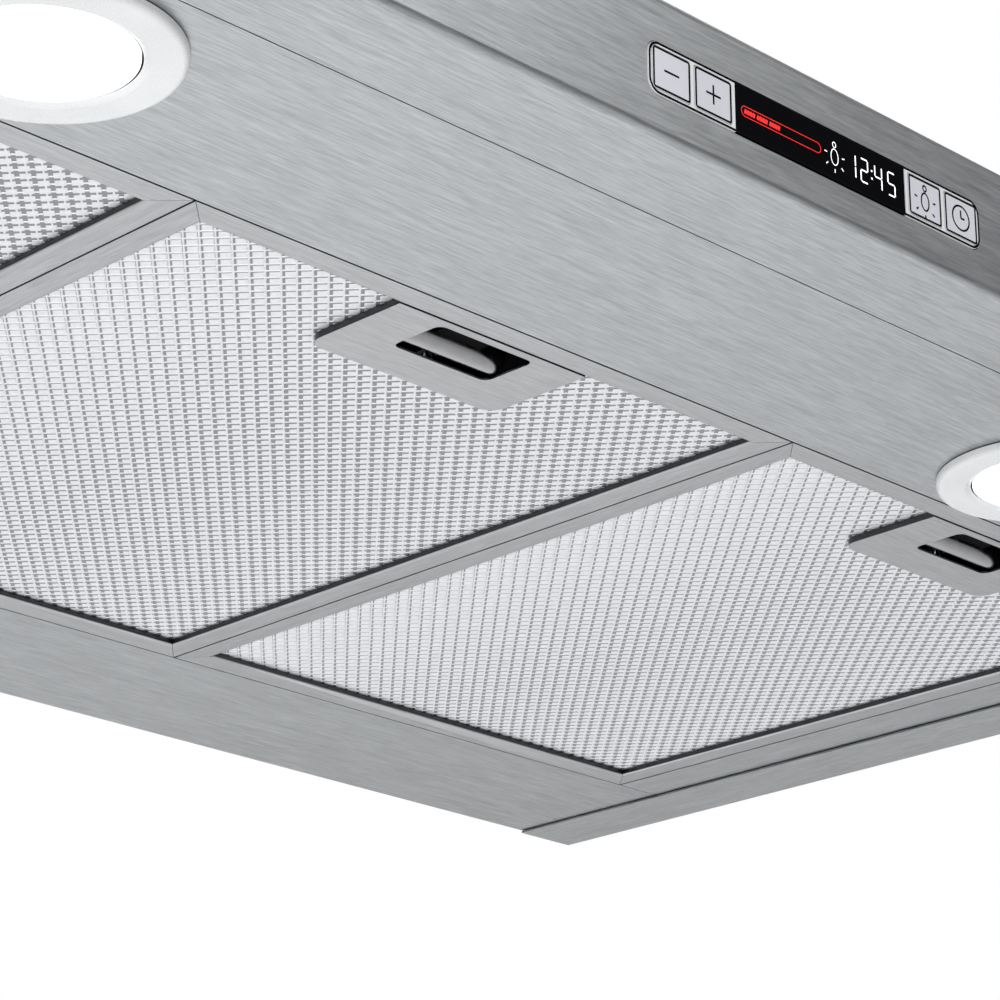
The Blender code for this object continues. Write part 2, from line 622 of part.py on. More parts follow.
def make_blower():
    """Scroll, cheeks, motor, bracket, shaft and the two wheels."""
    axis_z = fan_height()
    centre = (fan_y, axis_z)
    half = DUCT_WIDTH / 2
    outline = scroll_line(SCROLL_SHEET) + scroll_line(0)[::-1]
    wrap = prism("scroll_wrap", outline, "X", -half, half, GALVANISED)
    smooth(wrap)
    flange_y = (duct_front - SCROLL_FLANGE, duct_back + SCROLL_FLANGE)
    flange = box("scroll_flange", (-half - SCROLL_FLANGE, half + SCROLL_FLANGE), flange_y,
                 (scroll_low, scroll_roof))
    cut(flange, box("flange_opening", (-half + SCROLL_SHEET, half - SCROLL_SHEET), (duct_front, duct_back),
                    (scroll_low - 0.01, roof + 0.01)))
    add(wrap, flange)
    for x, y in blower_screws():
        cut(wrap, rod("flange_screw_hole", SCREW_RADIUS + GAP, "Z", (x, y), scroll_low - 0.01, roof + 0.01,
                      steps=16))
    cheek_outline = scroll_line(SCROLL_SHEET)
    cheek_outline = [(y, min(z, scroll_low - GAP)) for y, z in cheek_outline]
    for side, sign in (("left", -1), ("right", 1)):
        x = sorted((sign * (half + GAP), sign * (half + GAP + SCROLL_SHEET)))
        cheek = prism(side + "_scroll_cheek", cheek_outline, "X", x[0], x[1], GALVANISED)
        lip = sorted((sign * (half - 0.008), sign * (half + GAP + SCROLL_SHEET)))
        add(cheek, turned(side + "_inlet_lip",
                          [(eye_radius - 0.001, lip[0]), (eye_radius + 0.001, lip[0]), (eye_radius + 0.001, lip[1]),
                           (eye_radius - 0.001, lip[1])], "X", centre, steps=40))
        cut(cheek, rod(side + "_eye", eye_radius, "X", centre, -0.2, 0.2, steps=40))
        make_wheel(side, sign, centre)
    bore = SHAFT_RADIUS + GAP
    turned("fan_motor", [(bore, -MOTOR_HALF), (MOTOR_RADIUS * 0.45, -MOTOR_HALF),
                         (MOTOR_RADIUS * 0.5, -MOTOR_HALF + 0.004), (MOTOR_RADIUS, -MOTOR_HALF + 0.006),
                         (MOTOR_RADIUS, MOTOR_HALF - 0.006), (MOTOR_RADIUS * 0.5, MOTOR_HALF - 0.004),
                         (MOTOR_RADIUS * 0.45, MOTOR_HALF), (bore, MOTOR_HALF)], "X", centre, GALVANISED, steps=32)
    band = MOTOR_RADIUS + GAP
    bracket = turned("motor_bracket", [(band, -0.010), (band + 0.002, -0.010), (band + 0.002, 0.010), (band, 0.010)],
                     "X", centre, GALVANISED, steps=32)
    foot = deck + FILTER_HEIGHT + BLOWER_CLEARANCE + SCROLL_SHEET + 0.001
    add(bracket, box("motor_leg", (-0.008, 0.008), (fan_y - 0.006, fan_y + 0.006), (foot, axis_z - band - 0.001)))
    shaft_end = WHEEL_START + 0.026
    rod("motor_shaft", SHAFT_RADIUS, "X", centre, -shaft_end, shaft_end, STEEL, steps=16,
        origin=(0, fan_y, axis_z))
    for i, (x, y) in enumerate(blower_screws(), 1):
        head_top = scroll_low - GAP
        screw = rod(f"blower_screw_{i}", SCREW_HEAD, "Z", (x, y), head_top - 0.003, head_top, GALVANISED, steps=6)
        add(screw, rod("screw_shank", SCREW_RADIUS, "Z", (x, y), head_top - 0.001, -GAP, steps=12))


def make_wheel(side, sign, centre):
    """One wheel: hub plate, forward-curved blades and end ring."""
    origin = (0, *centre)
    bore = SHAFT_RADIUS + GAP
    start, end = sign * WHEEL_START, sign * wheel_end
    plate = sign * (WHEEL_START + 0.0015)
    hub = sign * (WHEEL_START + 0.020)
    wheel = turned(side + "_fan_wheel", [(bore, start), (WHEEL_RADIUS, start), (WHEEL_RADIUS, plate),
                                         (0.012, plate), (0.010, hub), (bore, hub)],
                   "X", centre, GREY_PLASTIC, steps=BLADES * 2, origin=origin)
    ring = turned(side + "_end_ring", [(wheel_bore + 0.001, end - sign * 0.002), (WHEEL_RADIUS, end - sign * 0.002),
                                       (WHEEL_RADIUS, end), (wheel_bore + 0.001, end)], "X", centre, steps=BLADES * 2)
    blades = bmesh.new()
    for i in range(BLADES):
        base = 2 * pi * (i + 0.25) / BLADES
        line = []
        for k in range(3):
            radius = wheel_bore + (BLADE_DEPTH - 0.0006) * k / 2
            angle = base + 0.10 * (k / 2) ** 2
            line.append((radius, angle))
        outline = [(r, a - BLADE_THICK / 2 / r) for r, a in line] + [(r, a + BLADE_THICK / 2 / r)
                                                                      for r, a in line[::-1]]
        low = start + sign * 0.0007
        high = end - sign * 0.0010
        rings = [[blades.verts.new((x, centre[0] + r * cos(a), centre[1] + r * sin(a))) for r, a in outline]
                 for x in (low, high)]
        for j in range(len(outline)):
            k = (j + 1) % len(outline)
            blades.faces.new((rings[0][j], rings[0][k], rings[1][k], rings[1][j]))
        blades.faces.new(rings[0])
        blades.faces.new(rings[1])
    bmesh.ops.recalc_face_normals(blades, faces=blades.faces)
    mesh = bpy.data.meshes.new(side + "_blades")
    blades.to_mesh(mesh)
    blades.free()
    tool = bpy.data.objects.new(side + "_blades", mesh)
    tool.hide_render = True
    tool.display_type = "WIRE"
    bpy.context.collection.objects.link(tool)
    add(wheel, tool, ring)


def make_duct():
    """Duct collar with its hinged damper flap and pin."""
    outer_x, outer_y = DUCT_WIDTH / 2, DUCT_DEPTH / 2 + SCROLL_SHEET
    collar = box("duct_collar", (-outer_x - SCROLL_FLANGE, outer_x + SCROLL_FLANGE),
                 (duct_front - SCROLL_FLANGE, duct_back + SCROLL_FLANGE), (collar_low, roof), GALVANISED)
    add(collar, box("collar_wall", (-outer_x, outer_x), (DUCT_Y - outer_y, DUCT_Y + outer_y),
                    (collar_low + SCROLL_SHEET / 2, COLLAR_HEIGHT)))
    for x, y in blower_screws():
        cut(collar, rod("collar_screw_hole", SCREW_RADIUS + GAP, "Z", (x, y), -0.01, 0.01, steps=16))
    inner_x, inner_y = outer_x - SCROLL_SHEET, outer_y - SCROLL_SHEET
    cut(collar, box("collar_bore", (-inner_x, inner_x), (DUCT_Y - inner_y, DUCT_Y + inner_y),
                    (-0.01, COLLAR_HEIGHT + 0.01)))
    pin_y = DUCT_Y + inner_y - PIN_SETBACK
    pin = (pin_y, PIN_RISE)
    cut(collar, rod("collar_pin_hole", PIN_RADIUS + GAP, "X", pin, -0.2, 0.2, steps=16))
    rod("damper_pin", PIN_RADIUS, "X", pin, -outer_x - 0.001, outer_x + 0.001, STEEL, steps=16)
    knuckle = PIN_RADIUS + GAP
    reach = inner_x - FLAP_CLEARANCE
    flap = turned("damper_flap", [(knuckle, -reach), (knuckle + 0.001, -reach), (knuckle + 0.001, reach),
                                  (knuckle, reach)], "X", pin, GALVANISED, steps=16, origin=(0, *pin))
    add(flap, box("flap_blade", (-reach, reach), (DUCT_Y - inner_y + FLAP_CLEARANCE, pin_y - knuckle - 0.0003),
                  (PIN_RISE - FLAP_THICK / 2, PIN_RISE + FLAP_THICK / 2)))


def make_electrics():
    """Wiring box with its cover, terminals and cable bushing, lamp driver and motor capacitor."""
    size_x, size_y, size_z = BOX_SIZE
    bx, by = box_place
    inner_roof = roof - BOX_WALL
    x, y = (bx - size_x / 2, bx + size_x / 2), (by - size_y / 2, by + size_y / 2)
    low = roof - size_z
    wiring = box("wiring_box", x, y, (low, roof), GALVANISED)
    cut(wiring, box("wiring_hollow", (x[0] + BOX_WALL, x[1] - BOX_WALL), (y[0] + BOX_WALL, y[1] - BOX_WALL),
                    (low - 0.01, inner_roof)),
        rod("wiring_knockout", BUSHING_RADIUS + GAP, "Z", box_place, roof - 0.01, roof + 0.01))
    cover = box("wiring_cover", (x[0] - 0.002, x[1] + 0.002), (y[0] - 0.002, y[1] + 0.002),
                (low - GAP - BOX_WALL, low - GAP), GALVANISED)
    add(cover, box("cover_rim", (x[0] + BOX_WALL + GAP, x[1] - BOX_WALL - GAP),
                   (y[0] + BOX_WALL + GAP, y[0] + 2 * BOX_WALL + GAP), (low - GAP - BOX_WALL / 2, low + 0.006)))
    terminals = box("terminal_block", (x[0] + 0.008, x[0] + 0.028), (by - 0.026, by + 0.026),
                    (inner_roof - GAP - 0.016, inner_roof - GAP), WHITE_PLASTIC)
    for i in range(4):
        centre = by - 0.0195 + 0.013 * i
        cut(terminals, box("terminal_port", (x[0] + 0.014, x[0] + 0.034), (centre - 0.004, centre + 0.004),
                           (roof - 0.014, roof - 0.006)))
    flange, flange_top = BUSHING_RADIUS + BUSHING_FLANGE, inner_roof - GAP
    turned("cable_bushing", [(0.0065, flange_top - BUSHING_FLANGE), (flange, flange_top - BUSHING_FLANGE),
                             (flange, flange_top), (BUSHING_RADIUS, flange_top), (BUSHING_RADIUS, -GAP),
                             (0.0065, -GAP)], "Z", box_place, GREY_PLASTIC, steps=32)
    size_x, size_y, size_z = DRIVER_SIZE
    dx, dy = DRIVER_X, top_front + DRIVER_INSET
    driver = prism("lamp_driver", rounded_rectangle((dx - size_x / 2, dx + size_x / 2),
                                                    (dy - size_y / 2, dy + size_y / 2), 0.004),
                   "Z", roof - size_z, roof, WHITE_PLASTIC)
    cut(driver, box("driver_step", (dx + size_x / 2 - 0.014, dx + size_x), (dy - size_y, dy + size_y),
                    (roof - size_z - 0.01, roof - size_z / 2)))
    cx, cy = CAPACITOR_PLACE
    cap_z = roof - CAPACITOR_RADIUS
    low, high = cx - CAPACITOR_LENGTH / 2, cx + CAPACITOR_LENGTH / 2
    can = rod("motor_capacitor", CAPACITOR_RADIUS, "X", (cy, cap_z), low, high, ALUMINIUM, steps=24)
    rim = can.modifiers.new("rim", "BEVEL")
    rim.width = 0.0015
    rim.segments = 1


for old in list(bpy.data.objects):
    bpy.data.objects.remove(old, do_unlink=True)

make_shell()
make_underside()
for filter_side, filter_x in (("left", -filter_pitch), ("middle", 0.0), ("right", filter_pitch)):
    make_filter(filter_side, filter_x)
for lamp_side, lamp_x in (("left", -LAMP_X), ("right", LAMP_X)):
    make_lamp(lamp_side, lamp_x)
make_controls()
make_blower()
make_duct()
make_electrics()
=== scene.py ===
# Under cabinet range hood: brushed steel shell, mesh filters, lamps, keys and blower
import json
import math

import bpy
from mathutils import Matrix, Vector


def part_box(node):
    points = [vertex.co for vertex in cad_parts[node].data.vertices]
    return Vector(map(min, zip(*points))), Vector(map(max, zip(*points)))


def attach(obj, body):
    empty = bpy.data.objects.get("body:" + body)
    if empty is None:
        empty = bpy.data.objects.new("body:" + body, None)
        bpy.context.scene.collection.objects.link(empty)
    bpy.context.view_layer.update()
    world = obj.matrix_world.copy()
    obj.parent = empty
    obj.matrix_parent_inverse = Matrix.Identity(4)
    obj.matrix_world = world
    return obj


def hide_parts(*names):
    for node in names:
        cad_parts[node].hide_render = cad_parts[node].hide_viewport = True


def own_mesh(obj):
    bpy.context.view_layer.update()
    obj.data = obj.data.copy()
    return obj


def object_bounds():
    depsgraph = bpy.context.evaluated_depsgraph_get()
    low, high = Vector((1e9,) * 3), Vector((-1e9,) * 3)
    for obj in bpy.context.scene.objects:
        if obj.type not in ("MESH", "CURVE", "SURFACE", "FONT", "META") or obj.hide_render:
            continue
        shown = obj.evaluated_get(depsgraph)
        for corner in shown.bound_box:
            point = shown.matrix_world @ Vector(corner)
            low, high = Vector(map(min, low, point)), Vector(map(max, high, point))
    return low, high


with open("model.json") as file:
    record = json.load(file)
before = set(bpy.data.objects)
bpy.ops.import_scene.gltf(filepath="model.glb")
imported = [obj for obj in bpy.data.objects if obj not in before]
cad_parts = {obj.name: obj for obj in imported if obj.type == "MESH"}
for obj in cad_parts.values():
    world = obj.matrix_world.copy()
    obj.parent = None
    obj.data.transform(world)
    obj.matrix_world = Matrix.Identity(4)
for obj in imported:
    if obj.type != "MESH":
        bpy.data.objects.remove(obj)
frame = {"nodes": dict(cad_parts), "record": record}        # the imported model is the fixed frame
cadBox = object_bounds()
nodes = frame["nodes"]
bodyOf = {node: body for body, names in frame["record"]["behaviour"]["bodies"].items() for node in names}

# camera, light and floor

camera = {
    "place": (-0.6812, -1.0710, -0.6525), "turn": 44.83, "tilt": 20.96,
    "lens": 119.44, "sensor": 36, "nearest": 0.01,
}
room = {
    "floorDrop": 1.02, "floorSize": 30.0, "floorGrey": 0.80, "floorRough": 0.9,
    "skyGrey": 0.30, "sightWhite": 1.0,
}
lights = {  # place, aim, size, watts, colour
    "floorLight": ((0.7, 1.0, 1.1), (0.7, 1.0, -1.2), 1.8, 84, (0.98, 0.99, 1.0)),
    "underLight": ((-1.0, -0.9, -1.15), (0.0, -0.2, -0.23), 1.1, 11, (1.0, 1.0, 1.0)),
    "frontLight": ((0.9, -2.8, 1.9), (0.0, -0.5, -0.2), 2.2, 25, (0.98, 0.99, 1.0)),
    "keyLight": ((-1.6, -2.4, 0.3), (0.0, -0.5, -0.2), 1.2, 16, (1.0, 1.0, 1.0)),
}


def addCamera():
    data = bpy.data.cameras.new("viewCamera")
    data.lens = camera["lens"]
    data.sensor_width = camera["sensor"]
    data.clip_start = camera["nearest"]
    seer = bpy.data.objects.new("viewCamera", data)
    bpy.context.collection.objects.link(seer)
    seer.location = camera["place"]
    seer.rotation_euler = (math.radians(90 + camera["tilt"]), 0, -math.radians(camera["turn"]))
    bpy.context.scene.camera = seer


def addLights():
    for name, (place, aim, size, watts, colour) in lights.items():
        data = bpy.data.lights.new(name, "AREA")
        data.size = size
        data.energy = watts
        data.color = colour
        lamp = bpy.data.objects.new(name, data)
        bpy.context.collection.objects.link(lamp)
        lamp.location = place
        lamp.visible_glossy = name != "floorLight"     # that one is for the floor alone
        lamp.rotation_euler = (Vector(aim) - Vector(place)).to_track_quat("-Z", "Y").to_euler()


def addRoom():
    world = bpy.data.worlds.new("studio")
    bpy.context.scene.world = world
    world.use_nodes = True
    tree = world.node_tree
    tree.nodes.clear()
    sight = tree.nodes.new("ShaderNodeLightPath")
    seen = tree.nodes.new("ShaderNodeBackground")
    seen.inputs["Color"].default_value = (1, 1, 1, 1)
    seen.inputs["Strength"].default_value = room["sightWhite"]
    glow = tree.nodes.new("ShaderNodeBackground")
    glow.inputs["Color"].default_value = (room["skyGrey"],) * 3 + (1,)
    either = tree.nodes.new("ShaderNodeMixShader")
    out = tree.nodes.new("ShaderNodeOutputWorld")
    tree.links.new(sight.outputs["Is Camera Ray"], either.inputs["Fac"])
    tree.links.new(glow.outputs["Background"], either.inputs[1])
    tree.links.new(seen.outputs["Background"], either.inputs[2])
    tree.links.new(either.outputs["Shader"], out.inputs["Surface"])
    bpy.context.scene.view_settings.view_transform = "Standard"
    low = cadBox[0][2] - room["floorDrop"]
    clearSelection()
    bpy.ops.mesh.primitive_plane_add(size=room["floorSize"], location=(0, 0, low))
    floor = bpy.context.object
    floor.name = "studioFloor"
    paint = bpy.data.materials.new("floorPaint")
    paint.use_nodes = True
    shader = paint.node_tree.nodes["Principled BSDF"]
    shader.inputs["Base Color"].default_value = (room["floorGrey"],) * 3 + (1,)
    shader.inputs["Roughness"].default_value = room["floorRough"]
    floor.data.materials.append(paint)


def clearSelection():
    if bpy.context.object and bpy.context.object.mode == "EDIT":
        bpy.ops.object.mode_set(mode="OBJECT")
    bpy.ops.object.select_all(action="DESELECT")


addCamera()
addLights()
addRoom()
print("camera, light and floor are set")

# finishes


class Finish:
    # a material with short ways to add nodes to it

    def __init__(self, name, colour, roughness, metallic=0.0):
        self.material = bpy.data.materials.new(name)
        self.material.use_nodes = True
        self.nodes = self.material.node_tree.nodes
        self.links = self.material.node_tree.links
        self.shader = self.nodes["Principled BSDF"]
        self.colour = colour
        self.shader.inputs["Base Color"].default_value = (*colour, 1)
        self.shader.inputs["Roughness"].default_value = roughness
        self.shader.inputs["Metallic"].default_value = metallic
        self.place = self.nodes.new("ShaderNodeTexCoord").outputs["Object"]

    def noise(self, scale, detail=2.0, roughness=0.5):
        mapping = self.nodes.new("ShaderNodeMapping")
        mapping.inputs["Scale"].default_value = scale
        self.links.new(self.place, mapping.inputs["Vector"])
        texture = self.nodes.new("ShaderNodeTexNoise")
        texture.inputs["Scale"].default_value = 1.0
        texture.inputs["Detail"].default_value = detail
        texture.inputs["Roughness"].default_value = roughness
        self.links.new(mapping.outputs["Vector"], texture.inputs["Vector"])
        return texture.outputs["Fac"]

    def cells(self, scale):
        texture = self.nodes.new("ShaderNodeTexVoronoi")
        texture.inputs["Scale"].default_value = scale
        self.links.new(self.place, texture.inputs["Vector"])
        return texture.outputs["Distance"]

    def strands(self, direction):
        along = self.nodes.new("ShaderNodeVectorMath")
        along.operation = "DOT_PRODUCT"
        along.inputs[1].default_value = direction
        self.links.new(self.place, along.inputs[0])
        return self.combine(along.outputs["Value"], 0.5, "PINGPONG")

    def between(self, value, low, high, start=0.3, end=0.7):
        spread = self.nodes.new("ShaderNodeMapRange")
        spread.inputs["From Min"].default_value = start
        spread.inputs["From Max"].default_value = end
        spread.inputs["To Min"].default_value = low
        spread.inputs["To Max"].default_value = high
        self.links.new(value, spread.inputs["Value"])
        return spread.outputs["Result"]

    def combine(self, first, second, operation="MULTIPLY"):
        maths = self.nodes.new("ShaderNodeMath")
        maths.operation = operation
        for socket, value in zip(maths.inputs, (first, second)):
            if isinstance(value, (int, float)):
                socket.default_value = value
            else:
                self.links.new(value, socket)
        return maths.outputs["Value"]

    def shade(self, factor):
        # multiplies the colour by a grey factor
        mix = self.nodes.new("ShaderNodeVectorMath")
        mix.operation = "SCALE"
        mix.inputs[0].default_value = self.colour
        self.links.new(factor, mix.inputs["Scale"])
        self.links.new(mix.outputs["Vector"], self.shader.inputs["Base Color"])

    def rough(self, value):
        self.links.new(value, self.shader.inputs["Roughness"])

    def bump(self, height, distance, strength=1.0):
        bump = self.nodes.new("ShaderNodeBump")
        bump.inputs["Distance"].default_value = distance
        bump.inputs["Strength"].default_value = strength
        self.links.new(height, bump.inputs["Height"])
        self.links.new(bump.outputs["Normal"], self.shader.inputs["Normal"])


steel = {
    "colour": (0.425, 0.437, 0.448), "roughness": (0.29, 0.36), "scratch": 0.00001,
    "fine": 1500, "coarse": 420, "wide": 60, "cloud": 5,            # streaks per metre across the grain
    "fineLength": 75, "coarseLength": 30, "wideLength": 2.5,        # and along it
    "fineTone": 0.13, "coarseTone": 0.03, "wideTone": 0.006, "cloudTone": 0.015,
}


def brushed(name, grain, colour=steel["colour"], contrast=1.7):
    # steel brushed along one axis: 0 is X and 1 is Y
    made = Finish(name, colour, 0.32, 1.0)

    def streaks(across, along):
        return [along if axis == grain else across for axis in range(3)]

    def toned(texture, spread):
        return made.between(texture, 1 - spread, 1 + spread)

    fine = made.noise(streaks(steel["fine"], steel["fineLength"]), 3.0, 0.7)
    coarse = made.noise(streaks(steel["coarse"], steel["coarseLength"]))
    wide = made.noise(streaks(steel["wide"], steel["wideLength"]))
    cloud = made.noise((steel["cloud"],) * 3)
    tone = made.combine(toned(fine, steel["fineTone"] * contrast),
                        toned(coarse, steel["coarseTone"] * contrast))
    tone = made.combine(tone, toned(wide, steel["wideTone"] * contrast))
    made.shade(made.combine(tone, toned(cloud, steel["cloudTone"])))
    made.rough(made.between(coarse, *steel["roughness"]))
    made.bump(fine, steel["scratch"], 0.3)
    return made.material


plastic = {"cloud": 35, "grainDepth": 0.00002}
spangle = {"colour": (0.50, 0.52, 0.53), "crystals": 95, "cloud": 14}


def moulded(name, colour, roughness, grainSize=2500):
    # moulded plastic with a fine texture and faint tone changes
    made = Finish(name, colour, roughness)
    grain = made.noise((grainSize,) * 3)
    cloud = made.noise((plastic["cloud"],) * 3, 3.0)
    made.shade(made.between(cloud, 0.96, 1.04))
    made.rough(made.between(grain, roughness - 0.05, roughness + 0.06))
    made.bump(grain, plastic["grainDepth"], 0.35)
    return made.material


def zincSheet(name):
    # galvanised sheet with its crystal spangle
    made = Finish(name, spangle["colour"], 0.42, 1.0)
    crystals = made.cells(spangle["crystals"])
    cloud = made.noise((spangle["cloud"],) * 3, 3.0)
    made.shade(made.combine(made.between(crystals, 0.88, 1.10, 0.0, 0.8), made.between(cloud, 0.94, 1.05)))
    made.rough(made.between(crystals, 0.32, 0.52, 0.0, 0.8))
    return made.material


def glowing(name, colour, strength):
    # a lit surface, a little uneven
    made = Finish(name, colour, 0.35)
    cloud = made.noise((900,) * 3, 1.0)
    made.shade(made.between(cloud, 0.97, 1.0))
    made.shader.inputs["Emission Color"].default_value = (*colour, 1)
    made.shader.inputs["Emission Strength"].default_value = strength
    return made.material


def smoothMetal(name, colour, roughness, spots=300, metallic=1.0, dents=0.0):
    # plain metal with faint marks, and dents where they are asked for
    made = Finish(name, colour, roughness, metallic)
    marks = made.noise((spots,) * 3, 3.0)
    made.shade(made.between(marks, 0.93, 1.05))
    made.rough(made.between(marks, roughness - 0.06, roughness + 0.08))
    if dents:
        made.bump(marks, dents)
    return made.material


steelAlongX = brushed("steelAlongX", 0)
steelAlongY = brushed("steelAlongY", 1)
# the bars along Y are painted a little darker than those along X: painted shade for how the light falls
# across their grain
frameSteelX = brushed("frameSteelX", 0, (0.435, 0.440, 0.450), 1.3)
frameSteelY = brushed("frameSteelY", 1, (0.420, 0.425, 0.437), 1.3)
# painted shade and painted dark reflection: a near-black copy of the brushed steel for the filter frames'
# inner walls and the latch plates' skirts
paintedShadeSteel = brushed("paintedShadeSteel", 0, (0.075, 0.077, 0.082), 1.0)
paddleMetal = smoothMetal("paddleMetal", (0.36, 0.36, 0.37), 0.16, 200)
# painted shade: near black, for the latch wells, the latch bolts beside their paddles and the lamp rings'
# bores
paintedShadeBlack = moulded("paintedShadeBlack", (0.004, 0.004, 0.004), 0.60)
meshMetal = smoothMetal("meshMetal", (0.84, 0.84, 0.86), 0.42, 700, 0.35, 0.00012)
# painted shade: darker mesh metal for the grooves around the raised diamonds
paintedGrooveShade = smoothMetal("paintedGrooveShade", (0.30, 0.30, 0.33), 0.50, 500, 0.5)
zincWire = smoothMetal("zincWire", (0.56, 0.57, 0.58), 0.28)
canMetal = smoothMetal("canMetal", (0.72, 0.73, 0.74), 0.35, 120)
motorPaint = smoothMetal("motorPaint", (0.24, 0.25, 0.26), 0.45, 150)
galvanised = zincSheet("galvanised")
lampWhite = moulded("lampWhite", (0.82, 0.83, 0.84), 0.25)
bezelWhite = moulded("bezelWhite", (0.86, 0.86, 0.87), 0.40)
keyGrey = moulded("keyGrey", (0.74, 0.74, 0.80), 0.42)
keyInk = moulded("keyInk", (0.004, 0.004, 0.005), 0.60)
displayBlack = moulded("displayBlack", (0.002, 0.002, 0.003), 0.25, 4000)
for dark in (keyInk, displayBlack, paintedShadeBlack):
    dark.node_tree.nodes["Principled BSDF"].inputs["Specular IOR Level"].default_value = 0.02
greyMoulding = moulded("greyMoulding", (0.13, 0.13, 0.14), 0.55)
wheelMoulding = moulded("wheelMoulding", (0.055, 0.055, 0.06), 0.50)
driverWhite = moulded("driverWhite", (0.78, 0.78, 0.76), 0.50)
boardGreen = moulded("boardGreen", (0.02, 0.13, 0.06), 0.38)
lampGlow = glowing("lampGlow", (1.0, 1.0, 1.0), 1.12)
redGlow = glowing("redGlow", (0.80, 0.012, 0.010), 0.75)
whiteGlow = glowing("whiteGlow", (1.0, 1.0, 1.0), 1.0)
print("finishes are ready")

# ways of working


def editPiece(piece):
    # opens one piece in edit mode with nothing selected
    clearSelection()
    piece.select_set(True)
    bpy.context.view_layer.objects.active = piece
    bpy.ops.object.mode_set(mode="EDIT")
    bpy.ops.mesh.select_all(action="DESELECT")


def leaveEdit():
    bpy.ops.object.mode_set(mode="OBJECT")


def settle(piece):
    # puts a piece's place and turn into its mesh
    clearSelection()
    piece.select_set(True)
    bpy.context.view_layer.objects.active = piece
    bpy.ops.object.transform_apply(location=True, rotation=True, scale=True)


def joinPieces(pieces, name):
    clearSelection()
    for piece in pieces:
        piece.select_set(True)
    bpy.context.view_layer.objects.active = pieces[0]
    if len(pieces) > 1:
        bpy.ops.object.join()
    joined = bpy.context.object
    joined.name = name
    return joined


def duplicatePiece(piece, name):
    twin = bpy.data.objects.new(name, piece.data.copy())
    bpy.context.collection.objects.link(twin)
    return twin


def applyModifier(piece, modifier):
    clearSelection()
    piece.select_set(True)
    bpy.context.view_layer.objects.active = piece
    bpy.ops.object.modifier_apply(modifier=modifier.name)


edges = {"sharp": math.radians(35), "segments": 2}


def easeEdges(piece, width):
    # rounds the sharp edges and shades the piece smooth between them
    if width:
        bevel = piece.modifiers.new("ease", "BEVEL")
        bevel.width = width
        bevel.segments = edges["segments"]
        bevel.limit_method = "ANGLE"
        bevel.angle_limit = edges["sharp"]
        bevel.harden_normals = False
        applyModifier(piece, bevel)
    clearSelection()
    piece.select_set(True)
    bpy.context.view_layer.objects.active = piece
    bpy.ops.object.shade_smooth_by_angle(angle=edges["sharp"])
    weigh = piece.modifiers.new("flats", "WEIGHTED_NORMAL")
    weigh.keep_sharp = True
    applyModifier(piece, weigh)


def boxOf(node):
    return [Vector(corner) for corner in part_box(node)]


def selectFaces(piece, wanted):
    # selects the faces whose middle passes the test
    editPiece(piece)
    bpy.ops.mesh.select_mode(type="FACE")
    leaveEdit()
    for face in piece.data.polygons:
        face.select = wanted(face.center)
    bpy.ops.object.mode_set(mode="EDIT")


def paintFaces(piece, material, wanted):
    # gives the faces that pass the test another finish
    piece.data.materials.append(material)
    for face in piece.data.polygons:
        if wanted(face):
            face.material_index = len(piece.data.materials) - 1


def mergedCopy(node, name):
    # takes a copy of a frame node, with its loose triangles merged into clean faces
    piece = bpy.data.objects.new(name, nodes[node].data.copy())
    bpy.context.collection.objects.link(piece)
    piece.data.materials.clear()
    editPiece(piece)
    bpy.ops.mesh.select_all(action="SELECT")
    bpy.ops.mesh.remove_doubles(threshold=0.00001)
    bpy.ops.mesh.dissolve_limited(angle_limit=math.radians(0.5))
    leaveEdit()
    return piece


def finishPiece(piece, body, material, replaced=()):
    # gives a piece its material, puts it on its body and hides the nodes that it stands for
    if material:
        piece.data.materials.clear()
        piece.data.materials.append(material)
    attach(piece, body)
    if replaced:
        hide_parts(*replaced)


def dressNode(node, name, material, ease=0.0):
    # replaces a node by a copy with eased edges and its own finish
    piece = mergedCopy(node, name)
    easeEdges(piece, ease)
    finishPiece(piece, bodyOf[node], material, (node,))
    return piece


def cutAway(piece, point, normal):
    # removes what lies beyond a plane, and closes the cut
    editPiece(piece)
    bpy.ops.mesh.select_all(action="SELECT")
    bpy.ops.mesh.bisect(plane_co=point, plane_no=normal, use_fill=True, clear_outer=True, threshold=0.000001)
    leaveEdit()


def turnedPiece(name, centre, profile, vertices=96):
    # turns a closed profile of (radius, height) points about an upright axis
    clearSelection()
    bpy.ops.mesh.primitive_circle_add(vertices=vertices, radius=profile[0][0],
                                      location=(centre[0], centre[1], profile[0][1]))
    piece = bpy.context.object
    piece.name = name
    settle(piece)
    bpy.ops.object.mode_set(mode="EDIT")
    bpy.ops.mesh.select_all(action="SELECT")
    for (oldRadius, oldHeight), (radius, height) in zip(profile, profile[1:] + profile[:1]):
        bpy.ops.mesh.extrude_region_move(TRANSFORM_OT_translate={"value": (0, 0, height - oldHeight)})
        ratio = radius / oldRadius
        bpy.ops.transform.resize(value=(ratio, ratio, 1), center_override=(centre[0], centre[1], height))
    bpy.ops.mesh.select_all(action="SELECT")
    bpy.ops.mesh.remove_doubles(threshold=0.000005)
    bpy.ops.mesh.normals_make_consistent(inside=False)
    leaveEdit()
    return piece


# shell and underside

shell = {"ease": 0.00015}
for node, name, material in (
        ("canopy_panel", "canopySheet", steelAlongX), ("back_panel", "backSheet", steelAlongX),
        ("left_side_panel", "leftSideSheet", steelAlongY),
        ("right_side_panel", "rightSideSheet", steelAlongY), ("lamp_panel", "lampPanelSheet", steelAlongX),
        ("rear_plate", "rearPlateSheet", steelAlongX),
        ("left_side_plate", "leftSidePlateSheet", steelAlongY),
        ("right_side_plate", "rightSidePlateSheet", steelAlongY)):
    dressNode(node, name, material, shell["ease"])
dressNode("front_fascia", "fasciaSheet", steelAlongX)
print("shell is dressed")

# filters

